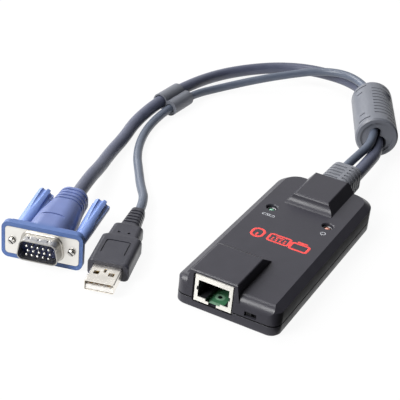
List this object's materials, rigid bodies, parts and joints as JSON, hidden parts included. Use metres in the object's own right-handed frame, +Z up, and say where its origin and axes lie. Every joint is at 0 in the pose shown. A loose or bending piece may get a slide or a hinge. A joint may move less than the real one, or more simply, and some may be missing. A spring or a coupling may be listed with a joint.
{
  "type": "kvm dongle",
  "caption": "Computer interface dongle: a small moulded housing with a network socket, and a video plug and a USB plug on two short leads through a ferrite.",
  "frame": {"origin": "on the table, under the middle of the housing's outline", "axes": "+Y from the network socket towards the strain relief, +X to the right as seen from the socket end, +Z up"},
  "size_m": [0.1362, 0.2477, 0.0208],
  "materials": {
    "case_charcoal": "fine matt texture",
    "steel": "bright",
    "board_green": "solder mask",
    "shield_nickel": "satin nickel plate",
    "black_moulding": "moulded",
    "gold_contact": "gold plate",
    "pale_plastic": "moulded",
    "green_lens": "translucent",
    "orange_lens": "translucent",
    "capacitor_can": "satin",
    "wire_jacket": "smooth",
    "relief_grey": "matt",
    "lead_grey": "satin",
    "sleeve_grey": "satin",
    "clip_grey": "satin",
    "hood_blue": "satin",
    "plug_nickel": "nickel plate",
    "insulator_blue": "moulded",
    "grip_dark": "satin",
    "tongue_white": "moulded",
    "ferrite_black": "pressed ceramic"
  },
  "bodies": {
    "housing": {"top_shell": "case_charcoal", "bottom_shell": "case_charcoal", "case_screws": "steel", "circuit_board": "board_green", "jack_shield": "shield_nickel", "jack_insulator": "black_moulding", "jack_contacts": "gold_contact", "switch_body": "black_moulding", "link_lamp": "green_lens", "power_lamp": "orange_lens", "lamp_legs": "steel", "main_chip": "black_moulding", "small_chips": "black_moulding", "crystal": "steel", "capacitors": "capacitor_can", "video_header": "pale_plastic", "usb_header": "pale_plastic", "inner_wires": "wire_jacket", "strain_relief": "relief_grey", "video_hood": "hood_blue", "video_shell": "plug_nickel", "video_insulator": "insulator_blue", "video_pins": "plug_nickel", "usb_plug_shell": "plug_nickel", "usb_tongue": "tongue_white", "usb_contacts": "gold_contact", "usb_overmold": "grip_dark", "ferrite_core": "ferrite_black", "ferrite_sleeve": "sleeve_grey", "cable_clip": "clip_grey", "video_lead": "lead_grey", "usb_lead": "lead_grey"},
    "left_thumbscrew": {"left_thumb_grip": "hood_blue", "left_thumb_bolt": "steel"},
    "right_thumbscrew": {"right_thumb_grip": "hood_blue", "right_thumb_bolt": "steel"},
    "switch": {"switch_knob": "black_moulding"}
  },
  "joints": [
    {"name": "left_thumbscrew_turn", "type": "hinge", "parent": "housing", "child": "left_thumbscrew", "pos_m": [-0.08997, -0.06344, 0.0082], "axis": [-0.2588, 0.9659, 0], "continuous": true},
    {"name": "right_thumbscrew_turn", "type": "hinge", "parent": "housing", "child": "right_thumbscrew", "pos_m": [-0.06583, -0.05696, 0.0082], "axis": [-0.2588, 0.9659, 0], "continuous": true},
    {"name": "switch_slide", "type": "slide", "parent": "housing", "child": "switch", "axis": [1, 0, 0], "range_m": [0, 0.002]}
  ]
}
